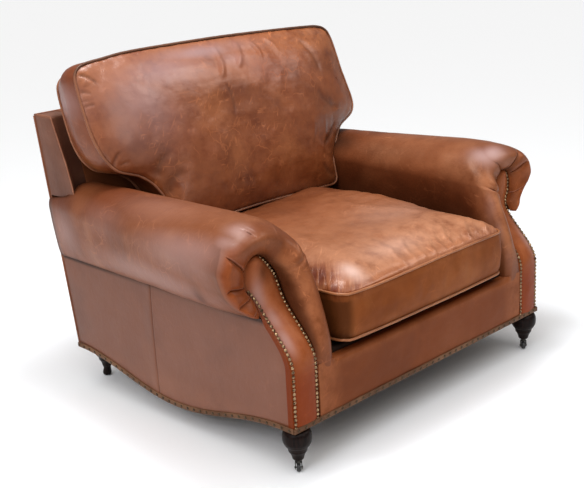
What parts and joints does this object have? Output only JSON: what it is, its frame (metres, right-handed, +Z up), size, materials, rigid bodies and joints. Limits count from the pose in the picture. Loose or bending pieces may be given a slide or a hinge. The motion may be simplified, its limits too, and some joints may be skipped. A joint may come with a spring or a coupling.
{
  "type": "club chair",
  "caption": "Low, deep rolled-arm club chair in worn tan leather, with loose seat and back cushions, nailed edges and turned legs on small front casters.",
  "frame": {"origin": "on the floor, in the middle of the chair's footprint box", "axes": "+Z up, -Y towards the front of the chair, +X to the right as seen from the front"},
  "size_m": [1.2778, 1.026, 0.967],
  "materials": {
    "tan_leather": "waxed pull-up leather, worn and scuffed",
    "seat_leather": "the same leather, rubbed paler on the seat cushion",
    "beech": "sawn, unfinished, hidden",
    "dark_mahogany": "turned, near-black stain, satin",
    "spring_steel": "bare wire, hidden",
    "jute_web": "woven webbing and deck cloth",
    "black_cloth": "thin black dust cloth",
    "dark_iron": "blackened, worn",
    "wheel_black": "matte black"
  },
  "bodies": {
    "root": {"arm_facing_left": "tan_leather", "arm_facing_right": "tan_leather", "arm_pad_left": "tan_leather", "arm_pad_right": "tan_leather", "arm_post_left": "beech", "arm_post_right": "beech", "arm_stretcher_left": "beech", "arm_stretcher_right": "beech", "arm_top_rail_left": "beech", "arm_top_rail_right": "beech", "back_cushion": "tan_leather", "back_post_left": "beech", "back_post_right": "beech", "back_tack_rail": "beech", "back_top_rail": "beech", "back_web_1": "jute_web", "back_web_2": "jute_web", "back_web_3": "jute_web", "base_band_front": "tan_leather", "base_band_left": "tan_leather", "base_band_rear": "tan_leather", "base_band_right": "tan_leather", "caster_socket_left": "dark_iron", "caster_socket_right": "dark_iron", "corner_block_front_left": "beech", "corner_block_front_right": "beech", "corner_block_rear_left": "beech", "corner_block_rear_right": "beech", "dust_cover": "black_cloth", "front_border": "tan_leather", "front_leg_left": "dark_mahogany", "front_leg_right": "dark_mahogany", "front_rail": "beech", "inside_back": "tan_leather", "outside_arm_left": "tan_leather", "outside_arm_right": "tan_leather", "outside_back": "tan_leather", "post_cover_left": "tan_leather", "post_cover_right": "tan_leather", "rear_leg_left": "dark_mahogany", "rear_leg_right": "dark_mahogany", "rear_rail": "beech", "seat_cushion": "seat_leather", "seat_deck": "jute_web", "seat_spring_1": "spring_steel", "seat_spring_2": "spring_steel", "seat_spring_3": "spring_steel", "seat_spring_4": "spring_steel", "seat_spring_5": "spring_steel", "side_rail_left": "beech", "side_rail_right": "beech"},
    "fork_left": {"caster_fork_left": "dark_iron", "caster_axle_left": "dark_iron"},
    "wheel_left": {"caster_wheel_left": "wheel_black"},
    "fork_right": {"caster_fork_right": "dark_iron", "caster_axle_right": "dark_iron"},
    "wheel_right": {"caster_wheel_right": "wheel_black"}
  },
  "joints": [
    {"name": "caster_swivel_left", "type": "hinge", "parent": "root", "child": "fork_left", "pos_m": [-0.494, -0.466, 0.04], "axis": [0, 0, 1], "continuous": true},
    {"name": "caster_swivel_right", "type": "hinge", "parent": "root", "child": "fork_right", "pos_m": [0.494, -0.466, 0.04], "axis": [0, 0, 1], "continuous": true},
    {"name": "wheel_roll_left", "type": "hinge", "parent": "fork_left", "child": "wheel_left", "pos_m": [-0.494, -0.466, 0.011], "axis": [0.7071, -0.7071, 0], "continuous": true},
    {"name": "wheel_roll_right", "type": "hinge", "parent": "fork_right", "child": "wheel_right", "pos_m": [0.494, -0.466, 0.011], "axis": [0.7071, -0.7071, 0], "continuous": true}
  ]
}
